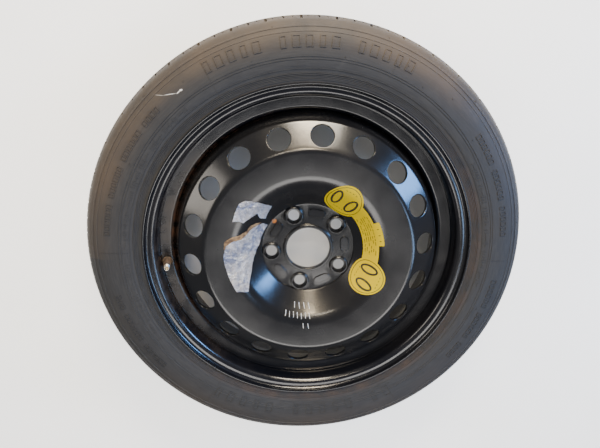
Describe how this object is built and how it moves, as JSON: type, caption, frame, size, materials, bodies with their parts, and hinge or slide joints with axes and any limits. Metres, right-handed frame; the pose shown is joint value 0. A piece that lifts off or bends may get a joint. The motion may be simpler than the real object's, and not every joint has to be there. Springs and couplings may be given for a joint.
{
  "type": "spare wheel",
  "caption": "Narrow temporary-use spare wheel: a tyre on a pressed and welded steel wheel with round hand holes, a centre bore, stud holes and a rubber valve.",
  "frame": {"origin": "on the wheel's axis, in the plane of the hub mounting face", "axes": "+Z along the axis, towards the outboard face; +X and +Y as right and up in a front view"},
  "size_m": [0.6318, 0.6318, 0.131],
  "materials": {
    "tyre_rubber": "matt, dusty",
    "black_paint": "satin black paint",
    "weld_paint": "painted weld bead",
    "valve_rubber": "matt, dusty",
    "nickel": "dull nickel plate",
    "brass": "bare",
    "gasket": "matt",
    "pin_steel": "bare",
    "yellow_film": "printed film",
    "foil_film": "torn silver film"
  },
  "bodies": {
    "wheel": {"tyre": "tyre_rubber", "rim": "black_paint", "disc": "black_paint", "disc_welds": "weld_paint", "valve_body": "valve_rubber", "valve_stem": "nickel", "core_barrel": "brass", "core_gasket": "gasket", "core_spring": "pin_steel", "speed_label": "yellow_film", "torn_label_upper": "foil_film", "torn_label_lower": "foil_film"},
    "valve_pin": {"core_pin": "pin_steel", "core_washer": "gasket"}
  },
  "joints": [
    {"name": "valve_pin_press", "type": "slide", "parent": "wheel", "child": "valve_pin", "axis": [-0.1729, -0.0157, -0.9848], "range_m": [0, 0.0012], "stiffness_N_per_m": 400, "deforming": ["core_spring"]}
  ]
}
